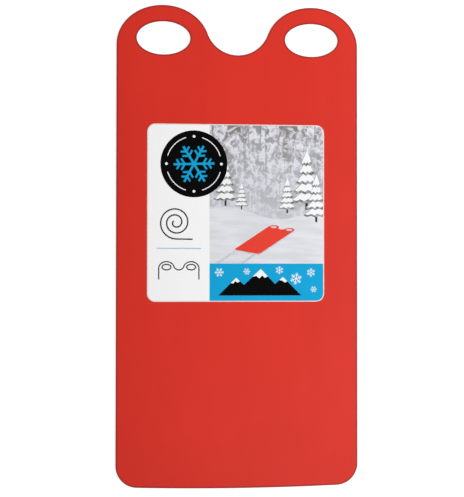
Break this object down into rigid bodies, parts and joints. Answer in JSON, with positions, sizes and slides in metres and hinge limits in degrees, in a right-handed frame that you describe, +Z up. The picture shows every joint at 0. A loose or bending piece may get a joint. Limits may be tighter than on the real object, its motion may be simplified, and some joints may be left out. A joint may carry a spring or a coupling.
{
  "type": "roll-up snow sled",
  "caption": "Flat flexible sled sheet with two oval hand holes at the nose, a notch between them, round tail corners and a square label; it rolls up from the tail and its nose and handles curl.",
  "frame": {"origin": "on the floor under the middle of the flat sheet's box", "axes": "+Z up through the sheet towards the label side, +Y from the tail to the hand holes, +X to the right seen from above with the hand holes at the top"},
  "size_m": [0.445, 0.885, 0.0025],
  "materials": {
    "sheet": "satin, moulded smooth, slightly soft sheen",
    "label": "printed vinyl film, semi-gloss"
  },
  "bodies": {
    "tail_panel": {"tail_panel": "sheet"},
    "sheet_panel_02": {"sheet_panel_02": "sheet"},
    "sheet_panel_03": {"sheet_panel_03": "sheet"},
    "sheet_panel_04": {"sheet_panel_04": "sheet"},
    "sheet_panel_05": {"sheet_panel_05": "sheet"},
    "sheet_panel_06": {"sheet_panel_06": "sheet"},
    "sheet_panel_07": {"sheet_panel_07": "sheet"},
    "sheet_panel_08": {"sheet_panel_08": "sheet"},
    "sheet_panel_09": {"sheet_panel_09": "sheet", "label_panel_09": "label"},
    "sheet_panel_10": {"sheet_panel_10": "sheet", "label_panel_10": "label"},
    "sheet_panel_11": {"sheet_panel_11": "sheet", "label_panel_11": "label"},
    "sheet_panel_12": {"sheet_panel_12": "sheet", "label_panel_12": "label"},
    "sheet_panel_13": {"sheet_panel_13": "sheet", "label_panel_13": "label"},
    "sheet_panel_14": {"sheet_panel_14": "sheet", "label_panel_14": "label"},
    "sheet_panel_15": {"sheet_panel_15": "sheet", "label_panel_15": "label"},
    "sheet_panel_16": {"sheet_panel_16": "sheet", "label_panel_16": "label"},
    "sheet_panel_17": {"sheet_panel_17": "sheet", "label_panel_17": "label"},
    "sheet_panel_18": {"sheet_panel_18": "sheet", "label_panel_18": "label"},
    "sheet_panel_19": {"sheet_panel_19": "sheet"},
    "sheet_panel_20": {"sheet_panel_20": "sheet"},
    "nose_panel": {"nose_panel": "sheet"},
    "left_bars": {"left_inner_bar": "sheet", "left_outer_bar": "sheet"},
    "left_grip": {"left_grip": "sheet"},
    "right_bars": {"right_inner_bar": "sheet", "right_outer_bar": "sheet"},
    "right_grip": {"right_grip": "sheet"}
  },
  "joints": [
    {"name": "front_roll", "type": "hinge", "parent": "sheet_panel_17", "child": "sheet_panel_16", "pos_m": [0, 0.17773, 0.001], "axis": [-1, 0, 0], "range_deg": [0, 34.43], "stiffness_Nm_per_rad": 2.3},
    {"name": "front_roll_flex_15", "type": "hinge", "parent": "sheet_panel_16", "child": "sheet_panel_15", "pos_m": [0, 0.13892, 0.001], "axis": [-1, 0, 0], "range_deg": [0, 34.8], "stiffness_Nm_per_rad": 2.3},
    {"name": "front_roll_flex_14", "type": "hinge", "parent": "sheet_panel_15", "child": "sheet_panel_14", "pos_m": [0, 0.10011, 0.001], "axis": [-1, 0, 0], "range_deg": [0, 35.17], "stiffness_Nm_per_rad": 2.3},
    {"name": "front_roll_flex_13", "type": "hinge", "parent": "sheet_panel_14", "child": "sheet_panel_13", "pos_m": [0, 0.0613, 0.001], "axis": [-1, 0, 0], "range_deg": [0, 35.56], "stiffness_Nm_per_rad": 2.3},
    {"name": "middle_roll", "type": "hinge", "parent": "sheet_panel_13", "child": "sheet_panel_12", "pos_m": [0, 0.02249, 0.001], "axis": [-1, 0, 0], "range_deg": [0, 35.96], "stiffness_Nm_per_rad": 2.3},
    {"name": "middle_roll_flex_11", "type": "hinge", "parent": "sheet_panel_12", "child": "sheet_panel_11", "pos_m": [0, -0.01632, 0.001], "axis": [-1, 0, 0], "range_deg": [0, 36.38], "stiffness_Nm_per_rad": 2.3},
    {"name": "middle_roll_flex_10", "type": "hinge", "parent": "sheet_panel_11", "child": "sheet_panel_10", "pos_m": [0, -0.05513, 0.001], "axis": [-1, 0, 0], "range_deg": [0, 36.81], "stiffness_Nm_per_rad": 2.3},
    {"name": "middle_roll_flex_09", "type": "hinge", "parent": "sheet_panel_10", "child": "sheet_panel_09", "pos_m": [0, -0.09394, 0.001], "axis": [-1, 0, 0], "range_deg": [0, 37.19], "stiffness_Nm_per_rad": 2.3},
    {"name": "rear_roll", "type": "hinge", "parent": "sheet_panel_09", "child": "sheet_panel_08", "pos_m": [0, -0.13268, 0.001], "axis": [-1, 0, 0], "range_deg": [0, 37.62], "stiffness_Nm_per_rad": 2.3},
    {"name": "rear_roll_flex_07", "type": "hinge", "parent": "sheet_panel_08", "child": "sheet_panel_07", "pos_m": [0, -0.17141, 0.001], "axis": [-1, 0, 0], "range_deg": [0, 38.1], "stiffness_Nm_per_rad": 2.3},
    {"name": "rear_roll_flex_06", "type": "hinge", "parent": "sheet_panel_07", "child": "sheet_panel_06", "pos_m": [0, -0.21014, 0.001], "axis": [-1, 0, 0], "range_deg": [0, 38.6], "stiffness_Nm_per_rad": 2.3},
    {"name": "rear_roll_flex_05", "type": "hinge", "parent": "sheet_panel_06", "child": "sheet_panel_05", "pos_m": [0, -0.24886, 0.001], "axis": [-1, 0, 0], "range_deg": [0, 39.11], "stiffness_Nm_per_rad": 2.3},
    {"name": "tail_roll", "type": "hinge", "parent": "sheet_panel_05", "child": "sheet_panel_04", "pos_m": [0, -0.28759, 0.001], "axis": [-1, 0, 0], "range_deg": [0, 39.64], "stiffness_Nm_per_rad": 2.3},
    {"name": "tail_roll_flex_03", "type": "hinge", "parent": "sheet_panel_04", "child": "sheet_panel_03", "pos_m": [0, -0.32632, 0.001], "axis": [-1, 0, 0], "range_deg": [0, 40.2], "stiffness_Nm_per_rad": 2.3},
    {"name": "tail_roll_flex_02", "type": "hinge", "parent": "sheet_panel_03", "child": "sheet_panel_02", "pos_m": [0, -0.36505, 0.001], "axis": [-1, 0, 0], "range_deg": [0, 40.79], "stiffness_Nm_per_rad": 2.3},
    {"name": "tail_roll_flex_01", "type": "hinge", "parent": "sheet_panel_02", "child": "tail_panel", "pos_m": [0, -0.40377, 0.001], "axis": [-1, 0, 0], "range_deg": [0, 41.39], "stiffness_Nm_per_rad": 2.3},
    {"name": "nose_curl", "type": "hinge", "parent": "sheet_panel_17", "child": "sheet_panel_18", "pos_m": [0, 0.21654, 0.001], "axis": [1, 0, 0], "range_deg": [0, 34.08], "stiffness_Nm_per_rad": 2.3},
    {"name": "nose_flex_18", "type": "hinge", "parent": "sheet_panel_18", "child": "sheet_panel_19", "pos_m": [0, 0.25526, 0.001], "axis": [1, 0, 0], "range_deg": [0, 33.66], "stiffness_Nm_per_rad": 2.3},
    {"name": "nose_flex_19", "type": "hinge", "parent": "sheet_panel_19", "child": "sheet_panel_20", "pos_m": [0, 0.29396, 0.001], "axis": [1, 0, 0], "range_deg": [0, 33.31], "stiffness_Nm_per_rad": 2.3},
    {"name": "nose_flex_20", "type": "hinge", "parent": "sheet_panel_20", "child": "nose_panel", "pos_m": [0, 0.33265, 0.001], "axis": [1, 0, 0], "range_deg": [0, 33], "stiffness_Nm_per_rad": 2.3},
    {"name": "left_handle_pull", "type": "hinge", "parent": "nose_panel", "child": "left_bars", "pos_m": [-0.1367, 0.37116, 0.001], "axis": [1, 0, 0], "range_deg": [0, 32.52], "stiffness_Nm_per_rad": 0.41},
    {"name": "left_grip_flex", "type": "hinge", "parent": "left_bars", "child": "left_grip", "pos_m": [-0.1367, 0.41007, 0.001], "axis": [1, 0, 0], "range_deg": [0, 32.57], "stiffness_Nm_per_rad": 0.55},
    {"name": "right_handle_pull", "type": "hinge", "parent": "nose_panel", "child": "right_bars", "pos_m": [0.1367, 0.37116, 0.001], "axis": [1, 0, 0], "range_deg": [0, 32.52], "stiffness_Nm_per_rad": 0.41},
    {"name": "right_grip_flex", "type": "hinge", "parent": "right_bars", "child": "right_grip", "pos_m": [0.1367, 0.41007, 0.001], "axis": [1, 0, 0], "range_deg": [0, 32.57], "stiffness_Nm_per_rad": 0.55}
  ],
  "couplings": [
    {"joint": "front_roll_flex_15", "follows": "front_roll", "ratio": 1.0105},
    {"joint": "front_roll_flex_14", "follows": "front_roll", "ratio": 1.0214},
    {"joint": "front_roll_flex_13", "follows": "front_roll", "ratio": 1.0327},
    {"joint": "middle_roll_flex_11", "follows": "middle_roll", "ratio": 1.0115},
    {"joint": "middle_roll_flex_10", "follows": "middle_roll", "ratio": 1.0234},
    {"joint": "middle_roll_flex_09", "follows": "middle_roll", "ratio": 1.034},
    {"joint": "rear_roll_flex_07", "follows": "rear_roll", "ratio": 1.0127},
    {"joint": "rear_roll_flex_06", "follows": "rear_roll", "ratio": 1.0258},
    {"joint": "rear_roll_flex_05", "follows": "rear_roll", "ratio": 1.0395},
    {"joint": "tail_roll_flex_03", "follows": "tail_roll", "ratio": 1.0141},
    {"joint": "tail_roll_flex_02", "follows": "tail_roll", "ratio": 1.0288},
    {"joint": "tail_roll_flex_01", "follows": "tail_roll", "ratio": 1.0441},
    {"joint": "nose_flex_18", "follows": "nose_curl", "ratio": 0.98765},
    {"joint": "nose_flex_19", "follows": "nose_curl", "ratio": 0.9774},
    {"joint": "nose_flex_20", "follows": "nose_curl", "ratio": 0.96802},
    {"joint": "left_grip_flex", "follows": "left_handle_pull", "ratio": 1.0014},
    {"joint": "right_grip_flex", "follows": "right_handle_pull", "ratio": 1.0014}
  ]
}
